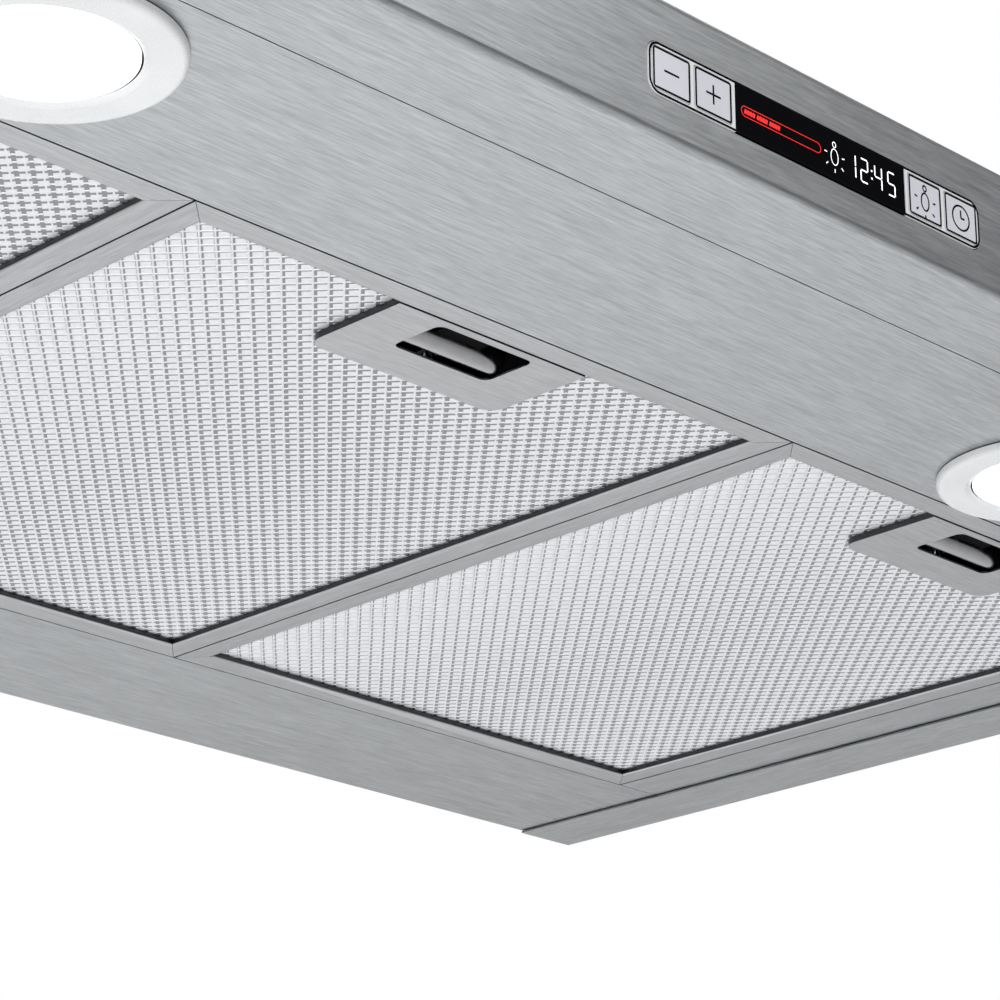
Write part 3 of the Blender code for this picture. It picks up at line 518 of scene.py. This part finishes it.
meshWork = {
    "pitchX": 0.0065, "pitchY": 0.0073,       # one diamond
    "rod": 0.00046, "rodSides": 6, "rodDrop": 0.00002,      # the second rods lie that much behind the first
    "sheetDrop": 0.00030, "groove": 0.00088,
    "slope": 0.00012, "slopeRise": 0.00010, "pillowEdge": 0.00045, "pillowRise": 0.00014,
    "notchHalf": 0.0234, "notchEase": 0.0022,               # room for the latch well
}
frameWork = {
    "lip": 0.0102, "backLip": 0.0116, "backEdge": 0.0011,   # the back edge without its tabs
    "mitreGap": 0.00008, "round": 0.0011, "wallStart": 0.006, "wallTop": 0.0005,
}
upright = 0.4          # a wall face's normal rises less than this


def wovenBack(name, colour):
    # the pack's upper side: the same strands, as crossing lines, with painted shade between them
    made = Finish(name, colour, 0.45, 0.35)
    strands = [made.strands((lean / meshWork["pitchX"], 1 / meshWork["pitchY"], 0)) for lean in (1, -1)]
    nearest = made.combine(*strands, "MINIMUM")
    # painted shade: darker between the strands, where the gaps of the mesh lie
    made.shade(made.between(nearest, 1.1, 0.45, 0.05, 0.15))
    made.bump(made.between(nearest, 1, 0, 0.03, 0.15), 0.0004)
    return made.material


meshBack = wovenBack("meshBack", (0.70, 0.70, 0.72))


def roundWallFeet(piece, chosen, floor):
    # rounds the lower edges of the chosen wall faces
    editPiece(piece)
    bpy.ops.mesh.select_mode(type="EDGE")
    bpy.ops.mesh.select_all(action="DESELECT")
    leaveEdit()
    keys = {key for face in piece.data.polygons if chosen(face) for key in face.edge_keys}
    points = piece.data.vertices
    for edge in piece.data.edges:
        edge.select = edge.key in keys and max(points[end].co.z for end in edge.vertices) < floor + 0.0003
    bpy.ops.object.mode_set(mode="EDIT")
    bpy.ops.mesh.bevel(offset=frameWork["round"], segments=3)
    bpy.ops.mesh.select_mode(type="FACE")
    leaveEdit()


def makeFilterFrame(side):
    # the filter's frame as four bars, mitred at the corners
    node = side + "_filter_frame"
    low, high = boxOf(node)
    meshLow, meshHigh = boxOf(side + "_filter_mesh")
    back = meshHigh.y + frameWork["backEdge"]
    whole = mergedCopy(node, side + "FrameWhole")
    lip, backLip, start = frameWork["lip"], frameWork["backLip"], frameWork["wallStart"]
    corners = {  # outer corner and direction towards the inner corner
        "frontLeft": (Vector((low.x, low.y, 0)), Vector((lip, lip, 0))),
        "frontRight": (Vector((high.x, low.y, 0)), Vector((-lip, lip, 0))),
        "backRight": (Vector((high.x, back, 0)), Vector((-lip, -backLip, 0))),
        "backLeft": (Vector((low.x, back, 0)), Vector((lip, -backLip, 0))),
    }

    def innerWall(face):
        # tells whether a face is a wall between the frame's lip and the mesh
        c = face.center
        inside = low.x + start < c.x < high.x - start and low.y + start < c.y < back - start
        return inside and abs(face.normal.z) < upright and c.z < meshLow.z + frameWork["wallTop"]

    bars = []
    for bar, ends, material in (("Front", ("frontLeft", "frontRight"), frameSteelX),
                                ("Right", ("frontRight", "backRight"), frameSteelY),
                                ("Back", ("backRight", "backLeft"), frameSteelX),
                                ("Left", ("backLeft", "frontLeft"), frameSteelY)):
        piece = duplicatePiece(whole, side + "Frame" + bar)
        middle = (corners[ends[0]][0] + corners[ends[1]][0]) / 2
        for end in ends:
            point, along = corners[end]
            normal = Vector((along.y, -along.x, 0)).normalized()
            if normal.dot(middle - point) > 0:
                normal = -normal             # it points away from the bar
            cutAway(piece, point - normal * frameWork["mitreGap"], normal)
        roundWallFeet(piece, innerWall, low.z)
        easeEdges(piece, 0)
        piece.data.materials.clear()
        piece.data.materials.append(material)
        # painted shade on the inner walls that face the mesh
        paintFaces(piece, paintedShadeSteel, innerWall)
        bars.append(piece)
    bpy.data.objects.remove(whole)
    joined = joinPieces(bars, side + "FilterFrame")
    finishPiece(joined, bodyOf[node], None, (node,))


def rodSet(name, low, high, height, lean):
    # makes parallel rods that run corner to corner over the diamonds and beyond the pack
    size = high - low
    across = meshWork["pitchX"]
    run = Vector((meshWork["pitchX"] * lean, meshWork["pitchY"], 0))
    sideways = size.y / meshWork["pitchY"] * meshWork["pitchX"]
    count = int((size.x + sideways) / across) + 2
    startX = low.x - (sideways if lean > 0 else 0)
    clearSelection()
    bpy.ops.mesh.primitive_cylinder_add(
        vertices=meshWork["rodSides"], radius=meshWork["rod"], depth=run.length * (size.y / run.y + 2),
        location=(startX + lean * sideways / 2, low.y + size.y / 2, height))
    rod = bpy.context.object
    rod.name = name
    rod.rotation_euler = run.to_track_quat("Z", "X").to_euler()
    settle(rod)
    array = rod.modifiers.new("row", "ARRAY")
    array.use_relative_offset = False
    array.use_constant_offset = True
    array.constant_offset_displace = (across, 0, 0)
    array.count = count
    applyModifier(rod, array)
    return rod


def clipTo(piece, low, high):
    for point, normal in ((low, (-1, 0, 0)), (low, (0, -1, 0)), (high, (1, 0, 0)), (high, (0, 1, 0))):
        cutAway(piece, point, normal)


def makeFilterMesh(side):
    # the mesh pack: two layers of strands over a sheet of raised diamonds
    node = side + "_filter_mesh"
    low, high = boxOf(node)
    plateHigh = Vector(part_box(side + "_latch_plate")[1])
    middle = (low.x + high.x) / 2
    notch = (middle - meshWork["notchHalf"], middle + meshWork["notchHalf"],
             plateHigh.y - meshWork["notchEase"])
    front = rodSet(side + "FrontRods", low, high, low.z + meshWork["rod"], 1)
    behind = rodSet(side + "BackRods", low, high, low.z + meshWork["rod"] + meshWork["rodDrop"], -1)
    rods = joinPieces([front, behind], side + "Rods")
    rods.data.materials.append(meshMetal)
    clipTo(rods, low, high)
    fields = ((Vector((low.x, low.y, 0)), Vector((notch[0], notch[2], 0))),
              (Vector((notch[1], low.y, 0)), Vector((high.x, notch[2], 0))),
              (Vector((low.x, notch[2], 0)), Vector((high.x, high.y, 0))))
    parts = []
    for number, (start, end) in enumerate(fields):
        part = duplicatePiece(rods, f"{side}Rods{number}")
        clipTo(part, start, end)
        parts.append(part)
    bpy.data.objects.remove(rods)
    parts.append(pillowSheet(side, low, high, notch))
    pack = joinPieces(parts, side + "FilterMesh")
    finishPiece(pack, bodyOf[node], None, (node,))


def insetEach(thickness, depth=0.0):
    bpy.ops.mesh.inset(thickness=thickness, depth=depth, use_individual=True, use_even_offset=False)


def pillowSheet(side, low, high, notch):
    # a closed sheet whose underside is pressed into one low pillow for each diamond
    size = high - low
    counts = (round(size.x / meshWork["pitchX"]), round(size.y / meshWork["pitchY"]))
    level = low.z + meshWork["sheetDrop"]
    clearSelection()
    bpy.ops.mesh.primitive_grid_add(x_subdivisions=counts[0], y_subdivisions=counts[1], size=1,
                                    location=((low.x + high.x) / 2, (low.y + high.y) / 2, level))
    sheet = bpy.context.object
    sheet.name = side + "Pillows"
    sheet.scale = (size.x, size.y, 1)
    settle(sheet)
    cornerCount = len(sheet.data.vertices)
    bpy.ops.object.mode_set(mode="EDIT")
    bpy.ops.mesh.select_all(action="SELECT")
    bpy.ops.mesh.flip_normals()
    bpy.ops.mesh.poke()
    leaveEdit()
    # the grid's own inner edges go, which leaves diamonds
    useCount = {}
    for face in sheet.data.polygons:
        for key in face.edge_keys:
            useCount[key] = useCount.get(key, 0) + 1
    editPiece(sheet)
    bpy.ops.mesh.select_mode(type="EDGE")
    leaveEdit()
    for edge in sheet.data.edges:
        key = tuple(sorted(edge.vertices))
        edge.select = max(key) < cornerCount and useCount[key] == 2
    bpy.ops.object.mode_set(mode="EDIT")
    bpy.ops.mesh.dissolve_edges(use_verts=False)
    leaveEdit()
    # only the diamonds around the latch well are cut
    near = meshWork["pitchY"] / 2
    left, right, rear = notch
    selectFaces(sheet, lambda c: left - near < c.x < right + near and abs(c.y - rear) < near)
    bpy.ops.mesh.bisect(plane_co=(0, rear, 0), plane_no=(0, 1, 0))
    leaveEdit()
    for x in (left, right):
        selectFaces(sheet, lambda c: abs(c.x - x) < near and c.y < rear)
        bpy.ops.mesh.bisect(plane_co=(x, 0, 0), plane_no=(1, 0, 0))
        leaveEdit()
    selectFaces(sheet, lambda c: left < c.x < right and c.y < rear)
    bpy.ops.mesh.delete(type="FACE")
    bpy.ops.mesh.select_all(action="SELECT")
    insetEach(meshWork["groove"])
    insetEach(meshWork["slope"], meshWork["slopeRise"])
    leaveEdit()
    sheet.data.materials.append(meshMetal)
    # painted shade in the grooves around each diamond
    paintFaces(sheet, paintedGrooveShade, lambda face: not face.select)
    bpy.ops.object.mode_set(mode="EDIT")
    insetEach(meshWork["pillowEdge"], meshWork["pillowRise"])
    bpy.ops.mesh.select_mode(type="EDGE")
    bpy.ops.mesh.select_all(action="DESELECT")
    bpy.ops.mesh.select_non_manifold()
    bpy.ops.mesh.extrude_region_move(TRANSFORM_OT_translate={"value": (0, 0, high.z - level)})
    bpy.ops.mesh.edge_face_add()
    bpy.ops.mesh.select_mode(type="VERT")
    leaveEdit()
    paintFaces(sheet, meshBack, lambda face: face.normal.z > 0.9)
    return sheet


latch = {"plate": 0.0016, "skirtStart": 0.0002, "paddle": 0.0100, "paddleLow": 0.0013, "travel": 0.005}


def makeLatch(side):
    # plate with a painted dark reflection on its skirt and painted shade in its well, and the bolt painted
    # black as painted shade beside its paddle
    plate = dressNode(side + "_latch_plate", side + "LatchPlate", frameSteelX, 0.00012)
    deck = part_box(side + "_latch_plate")[0][2]
    # painted shade: the well inside the plate is painted black
    paintFaces(plate, paintedShadeBlack, lambda face: face.center.z > deck + latch["plate"])
    # painted dark reflection on the sides of the plate's skirt
    paintFaces(plate, paintedShadeSteel, lambda face: abs(face.normal.z) < upright and
               deck + latch["skirtStart"] < face.center.z <= deck + latch["plate"])
    low, high = boxOf(side + "_latch_bolt")
    bolt = dressNode(side + "_latch_bolt", side + "LatchBolt", paddleMetal)
    # painted shade: the bolt is painted black beside its paddle
    paintFaces(bolt, paintedShadeBlack, lambda face: face.center.y < high.y - latch["paddle"] or face.normal.z > 0.2)
    editPiece(bolt)
    leaveEdit()
    for vertex in bolt.data.vertices:
        vertex.select = vertex.co.y > high.y - latch["paddle"]
    bpy.ops.object.mode_set(mode="EDIT")
    stretch = (high.z - deck - latch["paddleLow"]) / (high.z - low.z)
    bpy.ops.transform.resize(value=(1, 1, stretch), center_override=(0, 0, high.z))
    leaveEdit()


def makeLatchSpring(side):
    spring = dressNode(side + "_latch_spring", side + "LatchSpring", zincWire)
    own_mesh(spring)


for side in ("left", "middle", "right"):
    makeFilterFrame(side)
    makeFilterMesh(side)
    makeLatch(side)
    makeLatchSpring(side)
print("filters are made")

# lamps

lampRing = {
    "edge": 0.0020, "bore": 0.0265, "chamfer": 0.0020, "chamferRise": 0.0013,
    "neck": 0.0330, "lap": 0.0020, "play": 0.0003, "steps": 6,
}
lampLens = {"edge": 0.0005, "steps": 4, "axis": 0.0005}


def makeLamp(side):
    ringNode, lensNode = side + "_lamp_ring", side + "_lamp_lens"
    low, high = boxOf(ringNode)
    lensLow, lensHigh = boxOf(lensNode)
    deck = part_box("lamp_panel")[0][2]
    centre = ((low.x + high.x) / 2, (low.y + high.y) / 2)
    radius = (high.x - low.x) / 2
    lensRadius = (lensHigh.x - lensLow.x) / 2
    edge, rise, bore, chamfer, neck, lap, play = [
        lampRing[word] for word in ("edge", "chamferRise", "bore", "chamfer", "neck", "lap", "play")]
    profile = [(bore + chamfer + 0.0004, low.z)]
    for step in range(lampRing["steps"] + 1):
        angle = math.radians(90 * step / lampRing["steps"])
        profile.append((radius - edge + edge * math.sin(angle), low.z + edge - edge * math.cos(angle)))
    profile += [(radius, deck - play), (neck, deck - play), (neck, high.z), (lensRadius - lap, high.z),
                (lensRadius - lap, lensHigh.z + play), (bore, lensHigh.z + play),
                (bore, low.z + rise + 0.0002), (bore + 0.0003, low.z + rise),
                (bore + chamfer, low.z + 0.0001)]
    ring = turnedPiece(side + "LampRing", centre, profile)
    easeEdges(ring, 0)
    ring.data.materials.clear()
    ring.data.materials.append(lampWhite)
    # painted shade: the ring's bore is painted black
    paintFaces(ring, paintedShadeBlack, lambda face: math.dist(face.center[:2], centre) < bore + 0.0002)
    finishPiece(ring, bodyOf[ringNode], None, (ringNode,))
    edge = lampLens["edge"]
    profile = [(lampLens["axis"], lensHigh.z), (lensRadius, lensHigh.z), (lensRadius, lensLow.z + edge)]
    for step in range(1, lampLens["steps"] + 1):
        angle = math.radians(90 * step / lampLens["steps"])
        profile.append((lensRadius - edge + edge * math.cos(angle),
                        lensLow.z + edge - edge * math.sin(angle)))
    profile += [(lampLens["axis"], lensLow.z)]
    lens = turnedPiece(side + "LampLens", centre, profile)
    easeEdges(lens, 0)
    finishPiece(lens, bodyOf[lensNode], lampGlow, (lensNode,))
    dressNode(side + "_lamp_can", side + "LampCan", canMetal, 0.0002)


for side in ("left", "right"):
    makeLamp(side)
print("lamps are made")

# controls

controls = {
    "ink": 0.00004, "line": 0.00070, "mark": 0.00068, "rimLine": 0.00078, "margin": 0.0001,
    "keyCorner": 0.0010, "outlineCorner": 0.0042, "cornerSteps": 6,
    "stroke": 0.0062, "bulbHeight": 0.0098, "clockRadius": 0.0041,
}
display = {
    "glow": 0.00004, "line": 0.00035,
    "bar": (0.0023, 0.0378, -0.0019, 0.0016), "barCorner": 0.00170,       # X and Z, from the middle left
    "blocks": 3, "blockPitch": 0.0055, "stripes": 4, "stripePitch": 0.0012, "stripe": (0.0010, 0.0015),
    "bulb": 0.0440, "bulbHeight": 0.0088,
    "digits": (("1", 0.0505), ("2", 0.0562), ("4", 0.0628), ("5", 0.0690)), "digitSize": (0.0032, 0.0076),
    "colon": 0.0613, "colonHeights": (0.33, 0.66), "dot": 0.0006,
}


def flatBar(name, middle, size, turn, thick, face):
    # a thin printed bar on a face that looks to the front: middle and size are (X, Z)
    clearSelection()
    bpy.ops.mesh.primitive_cube_add(size=1, location=(middle[0], face - thick / 2, middle[1]))
    bar = bpy.context.object
    bar.name = name
    bar.scale = (size[0], thick, size[1])
    bar.rotation_euler = (0, turn, 0)
    settle(bar)
    return bar


def outlineBand(name, x, z, corner, width, face, thick):
    # a thin band around a rectangle with round corners
    clearSelection()
    bpy.ops.mesh.primitive_plane_add(size=1, location=((x[0] + x[1]) / 2, face, (z[0] + z[1]) / 2),
                                     rotation=(math.radians(90), 0, 0))
    band = bpy.context.object
    band.name = name
    band.scale = (x[1] - x[0], z[1] - z[0], 1)
    settle(band)
    bpy.ops.object.mode_set(mode="EDIT")
    bpy.ops.mesh.select_all(action="SELECT")
    bpy.ops.mesh.bevel(offset=corner, segments=controls["cornerSteps"], affect="VERTICES")
    bpy.ops.mesh.select_mode(type="FACE")
    bpy.ops.mesh.select_all(action="SELECT")
    bpy.ops.mesh.inset(thickness=width)
    bpy.ops.mesh.delete(type="FACE")
    bpy.ops.mesh.select_all(action="SELECT")
    bpy.ops.mesh.extrude_region_move(TRANSFORM_OT_translate={"value": (0, -thick, 0)})
    bpy.ops.mesh.select_all(action="SELECT")
    bpy.ops.mesh.normals_make_consistent(inside=False)
    bpy.ops.mesh.select_mode(type="VERT")
    leaveEdit()
    return band


def ringLine(name, middle, radii, width, face, thick, vertices=24):
    # a thin round or oval band: middle and radii are (X, Z)
    clearSelection()
    bpy.ops.mesh.primitive_torus_add(
        major_radius=1, minor_radius=0.1, major_segments=vertices, minor_segments=4,
        location=(middle[0], face - thick / 2, middle[1]), rotation=(math.radians(90), 0, 0))
    ring = bpy.context.object
    ring.name = name
    settle(ring)
    for vertex in ring.data.vertices:
        offset = Vector((vertex.co.x - middle[0], vertex.co.z - middle[1]))
        length = offset.length
        shift = (length - 1) / 0.1 * width / 2
        vertex.co.x = middle[0] + offset.x / length * (radii[0] + shift)
        vertex.co.z = middle[1] + offset.y / length * (radii[1] + shift)
        vertex.co.y = face - thick / 2 + (vertex.co.y - face + thick / 2) / 0.1 * thick / 2
    return ring


def bulbMark(name, middle, height, line, face, thick):
    # a small bulb with rays, as on many lamp keys
    x, z = middle
    body = height * 0.30
    parts = [ringLine(name, (x, z - height * 0.06), (body * 0.62, body), line, face, thick),
             ringLine(name, (x, z + height * 0.40), (height * 0.085, height * 0.10), line, face, thick, 12)]
    for angle in (-100, -50, 0, 50, 100):
        lean = math.radians(angle)
        reach = height * (0.46 if abs(angle) > 90 else 0.52)
        spot = (x + reach * math.sin(lean), z - height * 0.06 - reach * math.cos(lean))
        parts.append(flatBar(name, spot, (line, height * 0.13), -lean, thick, face))
    return parts


def clockMark(name, middle, radius, line, face, thick):
    # a plain clock face with two hands
    x, z = middle
    return [ringLine(name, middle, (radius, radius), line, face, thick),
            flatBar(name, (x, z + radius * 0.32), (line, radius * 0.64), 0, thick, face),
            flatBar(name, (x + radius * 0.22, z), (radius * 0.44, line), 0, thick, face)]


def digitMark(name, digit, left, low, size, line, face, thick):
    # one seven-segment digit
    lit = {"1": "bc", "2": "abged", "4": "fgbc", "5": "afgcd"}[digit]
    width, height = size
    half = height / 2
    gap = line * 0.5
    flat, tall = (width - 2 * gap, line), (line, half - 2 * gap)
    bars = {"a": ((left + width / 2, low + height), flat), "g": ((left + width / 2, low + half), flat),
            "d": ((left + width / 2, low), flat),
            "f": ((left, low + half * 1.5), tall), "b": ((left + width, low + half * 1.5), tall),
            "e": ((left, low + half * 0.5), tall), "c": ((left + width, low + half * 0.5), tall)}
    return [flatBar(name, *bars[letter], 0, thick, face) for letter in lit]


def rimOf(name, low, high, corner, width):
    # an inked line just inside the edge of a front face
    margin = controls["margin"]
    return outlineBand(name, (low.x + margin, high.x - margin), (low.z + margin, high.z - margin),
                       corner, width, low.y, controls["ink"])


def makeKeys():
    marks = {"minus_key": "minus", "plus_key": "plus", "light_key": "bulb", "timer_key": "clock"}
    ink, line = controls["ink"], controls["mark"]
    for node, mark in marks.items():
        name = mark + "Key"
        key = dressNode(node, name, keyGrey, 0.00012)
        low, high = boxOf(node)
        low.y += 2 * ink                     # room for the print inside the key's own size
        editPiece(key)
        bpy.ops.mesh.select_all(action="SELECT")
        bpy.ops.transform.resize(value=(1, (high.y - low.y) / (high.y - low.y + 2 * ink), 1),
                                 center_override=(0, high.y, 0))
        leaveEdit()
        middle = ((low.x + high.x) / 2, (low.z + high.z) / 2)
        parts = [rimOf(name + "Print", low, high, controls["keyCorner"], controls["line"])]
        if mark in ("minus", "plus"):
            parts.append(flatBar(name + "Print", middle, (controls["stroke"], line), 0, ink, low.y))
        if mark == "plus":
            parts.append(flatBar(name + "Print", middle, (line, controls["stroke"]), 0, ink, low.y))
        if mark == "bulb":
            parts += bulbMark(name + "Print", middle, controls["bulbHeight"], line * 0.9, low.y, ink)
        if mark == "clock":
            parts += clockMark(name + "Print", middle, controls["clockRadius"], line, low.y, ink)
        printed = joinPieces(parts, name + "Print")
        finishPiece(printed, bodyOf[node], keyInk)


def makeBezel():
    dressNode("control_bezel", "controlBezel", bezelWhite, 0.00008)
    low, high = boxOf("control_bezel")
    band = rimOf("bezelOutline", low, high, controls["outlineCorner"], controls["rimLine"])
    finishPiece(band, "root", keyInk)


def makeDisplay():
    dressNode("display_window", "displayPane", displayBlack, 0.0001)
    low, high = boxOf("display_window")
    face, glow, line = low.y, display["glow"], display["line"]
    left, middle = low.x, (low.z + high.z) / 2
    start, end, bottom, top = display["bar"]
    parts = [outlineBand("speedBar", (left + start, left + end), (middle + bottom, middle + top),
                         display["barCorner"], line * 0.6, face, glow)]
    for number in range(display["blocks"]):
        for stripe in range(display["stripes"]):
            place = left + start + 0.0014 + number * display["blockPitch"] + stripe * display["stripePitch"]
            parts.append(flatBar("speedBar", (place + 0.0005, middle - 0.00015), display["stripe"], 0.3,
                                 glow, face))
    red = joinPieces(parts, "speedBar")
    finishPiece(red, "root", redGlow)
    parts = bulbMark("clockDisplay", (left + display["bulb"], middle), display["bulbHeight"], line * 0.8,
                     face, glow)
    size, dot = display["digitSize"], display["dot"]
    foot = middle - size[1] / 2 - 0.0002
    for digit, shift in display["digits"]:
        parts += digitMark("clockDisplay", digit, left + shift, foot, size, line * 1.3, face, glow)
    for height in display["colonHeights"]:
        parts.append(flatBar("clockDisplay", (left + display["colon"], foot + size[1] * height), (dot, dot),
                             0, glow, face))
    white = joinPieces(parts, "clockDisplay")
    finishPiece(white, "root", whiteGlow)


makeBezel()
makeKeys()
makeDisplay()
print("controls are made")

# blower, duct and electrical pieces

inside = (
    ("scroll_wrap", "scrollWrap", galvanised, 0.0002),
    ("left_scroll_cheek", "leftScrollCheek", galvanised, 0.0002),
    ("right_scroll_cheek", "rightScrollCheek", galvanised, 0.0002),
    ("fan_motor", "fanMotor", motorPaint, 0.0004),
    ("motor_bracket", "motorBracket", galvanised, 0.0002),
    ("motor_shaft", "motorShaft", zincWire, 0.0002),
    ("left_fan_wheel", "leftFanWheel", wheelMoulding, 0.0),
    ("right_fan_wheel", "rightFanWheel", wheelMoulding, 0.0),
    ("duct_collar", "ductCollar", galvanised, 0.0002),
    ("damper_flap", "damperFlap", galvanised, 0.0001),
    ("damper_pin", "damperPin", zincWire, 0.0001),
    ("wiring_box", "wiringBox", galvanised, 0.0002),
    ("wiring_cover", "wiringCover", galvanised, 0.0002),
    ("terminal_block", "terminalBlock", driverWhite, 0.0002),
    ("cable_bushing", "cableBushing", greyMoulding, 0.0002),
    ("lamp_driver", "lampDriver", driverWhite, 0.0004),
    ("motor_capacitor", "motorCapacitor", canMetal, 0.0),
    ("control_board", "controlBoard", boardGreen, 0.0001),
    ("control_cover", "controlCover", greyMoulding, 0.0002),
    ("blower_screw_1", "blowerScrew1", zincWire, 0.0001),
    ("blower_screw_2", "blowerScrew2", zincWire, 0.0001),
    ("blower_screw_3", "blowerScrew3", zincWire, 0.0001),
    ("blower_screw_4", "blowerScrew4", zincWire, 0.0001),
)
for node, name, material, ease in inside:
    dressNode(node, name, material, ease)
print("blower, duct and electrical pieces are dressed")
